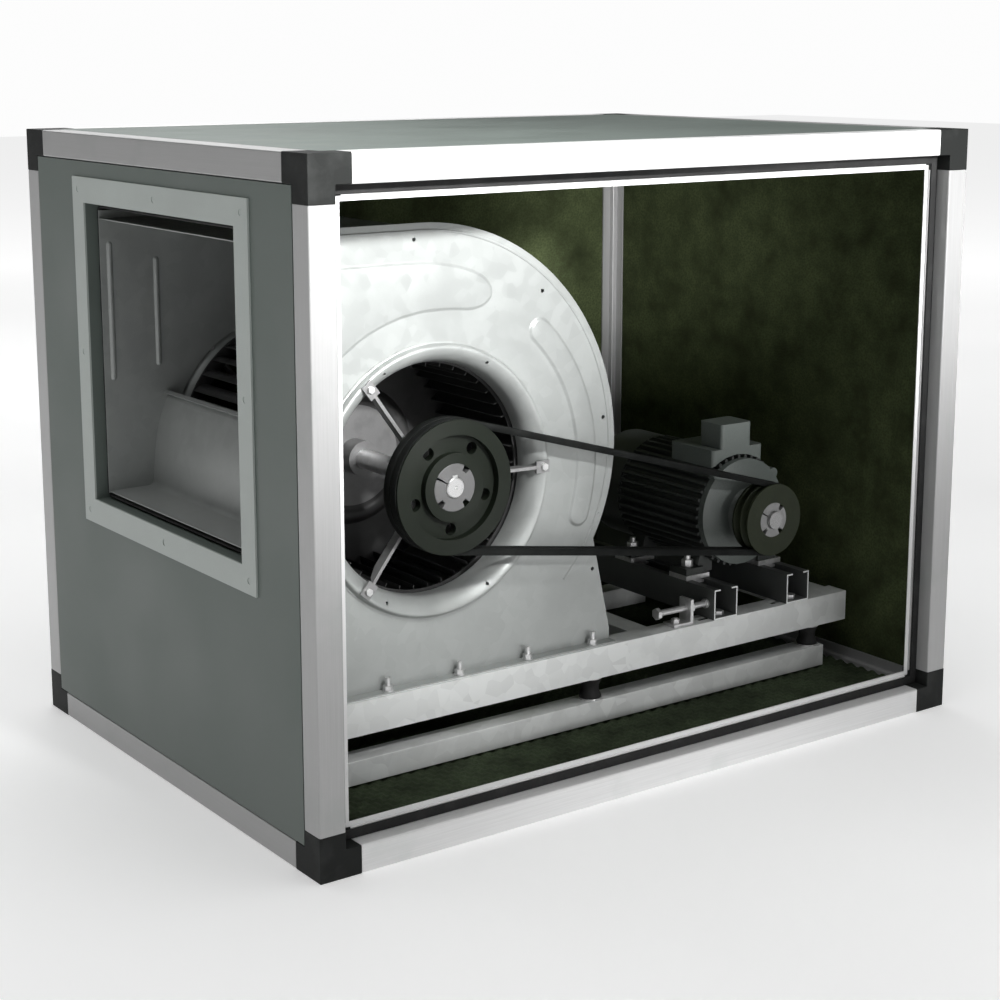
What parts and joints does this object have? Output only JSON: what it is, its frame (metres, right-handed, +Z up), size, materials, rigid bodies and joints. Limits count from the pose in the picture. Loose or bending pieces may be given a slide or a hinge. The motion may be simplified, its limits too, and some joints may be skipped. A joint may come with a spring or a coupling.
{
  "type": "belt-driven cabinet fan",
  "caption": "Insulated box fan section: a double-inlet forward-curved blower wheel in a scroll, driven by an electric motor through V-belts, with its front access side open.",
  "frame": {"origin": "bottom centre of the whole object's box, on the surface it stands on", "axes": "+Z up; the open service side faces -Y and the air leaves through the duct flange towards -X"},
  "size_m": [1.203, 0.87, 0.95],
  "materials": {
    "profile_aluminium": "satin extruded",
    "corner_nylon": "fine moulded grain",
    "panel_steel": "fine leather-grain plastic coating",
    "acoustic_lining": "charcoal profiled foam",
    "black_rubber": "matt",
    "white_strip": "white coated strip",
    "flange_steel": "smooth galvanised",
    "galvanised_rail": "dull galvanised",
    "sleeve_fabric": "coated flexible duct cloth",
    "galvanised_sheet": "bright galvanised with spangle",
    "zinc_steel": "bright zinc plated",
    "bearing_steel": "ground",
    "belt_rubber": "fabric-wrapped rubber",
    "wheel_steel": "galvanised pressed sheet",
    "bright_shaft": "ground and oiled",
    "black_iron": "black phosphated",
    "grey_iron": "machined",
    "motor_paint": "grey enamel",
    "stator_steel": "laminated",
    "fan_plastic": "moulded"
  },
  "bodies": {
    "cabinet": {"frame_posts": "profile_aluminium", "frame_long_rails": "profile_aluminium", "frame_cross_rails": "profile_aluminium", "corner_blocks": "corner_nylon", "top_panel": "panel_steel", "bottom_panel": "panel_steel", "rear_panel": "panel_steel", "right_panel": "panel_steel", "discharge_panel": "panel_steel", "panel_insulation": "acoustic_lining", "front_gasket": "black_rubber", "front_landing_frame": "white_strip", "duct_flange": "flange_steel", "floor_mat": "acoustic_lining", "floor_rails": "galvanised_rail", "isolators": "black_rubber", "flexible_sleeve": "sleeve_fabric"},
    "fan_base": {"scroll_wrap": "galvanised_sheet", "cutoff_plate": "galvanised_sheet", "front_side_plate": "galvanised_sheet", "rear_side_plate": "galvanised_sheet", "inlet_rings": "galvanised_sheet", "bearing_tripods": "zinc_steel", "bearing_cushions": "black_rubber", "bearing_outer_rings": "bearing_steel", "tripod_bolts": "zinc_steel", "foot_bolts": "zinc_steel", "base_rails": "galvanised_rail", "base_cross_ties": "galvanised_rail", "v_belt_front": "belt_rubber", "v_belt_rear": "belt_rubber", "tension_bracket": "zinc_steel"},
    "fan_rotor": {"wheel_centre_disc": "wheel_steel", "wheel_end_rings": "wheel_steel", "wheel_blades": "wheel_steel", "wheel_hub": "wheel_steel", "fan_shaft": "bright_shaft", "shaft_key": "bright_shaft", "bearing_inner_rings": "bearing_steel", "large_pulley": "black_iron", "large_bush": "grey_iron"},
    "motor_carriage": {"cross_rails": "galvanised_rail", "clamp_bolts": "zinc_steel", "motor_packers": "zinc_steel", "motor_foot_bolts": "zinc_steel", "motor_frame": "motor_paint", "motor_front_shield": "motor_paint", "motor_rear_shield": "motor_paint", "motor_bearings": "bearing_steel", "motor_stator": "stator_steel", "motor_fan_cowl": "motor_paint", "terminal_box": "motor_paint", "terminal_box_lid": "motor_paint", "cable_gland": "corner_nylon"},
    "motor_rotor": {"motor_shaft": "bright_shaft", "motor_rotor_core": "stator_steel", "motor_cooling_fan": "fan_plastic", "small_pulley": "black_iron", "small_bush": "grey_iron"},
    "tension_screw": {"tension_screw": "zinc_steel"}
  },
  "joints": [
    {"name": "isolator_travel", "type": "slide", "parent": "cabinet", "child": "fan_base", "axis": [0, 0, 1], "range_m": [-0.003, 0.003], "stiffness_N_per_m": 300000, "springref_m": 0.00318, "deforming": ["isolators", "flexible_sleeve"]},
    {"name": "fan_spin", "type": "hinge", "parent": "fan_base", "child": "fan_rotor", "pos_m": [-0.2835, -0.0125, 0.464], "axis": [0, -1, 0], "continuous": true},
    {"name": "motor_belt_slide", "type": "slide", "parent": "fan_base", "child": "motor_carriage", "axis": [1, 0, 0], "range_m": [-0.025, 0], "deforming": ["v_belt_front", "v_belt_rear"]},
    {"name": "motor_spin", "type": "hinge", "parent": "motor_carriage", "child": "motor_rotor", "pos_m": [0.3415, -0.107, 0.326], "axis": [0, -1, 0], "continuous": true},
    {"name": "tension_screw_turn", "type": "hinge", "parent": "motor_carriage", "child": "tension_screw", "pos_m": [0.2015, -0.245, 0.193], "axis": [1, 0, 0], "range_deg": [-6000.5, 0.5]}
  ],
  "couplings": [
    {"joint": "motor_spin", "follows": "fan_spin", "ratio": 1.6964},
    {"joint": "tension_screw_turn", "follows": "motor_belt_slide", "rad_per_m": 4188.8}
  ]
}
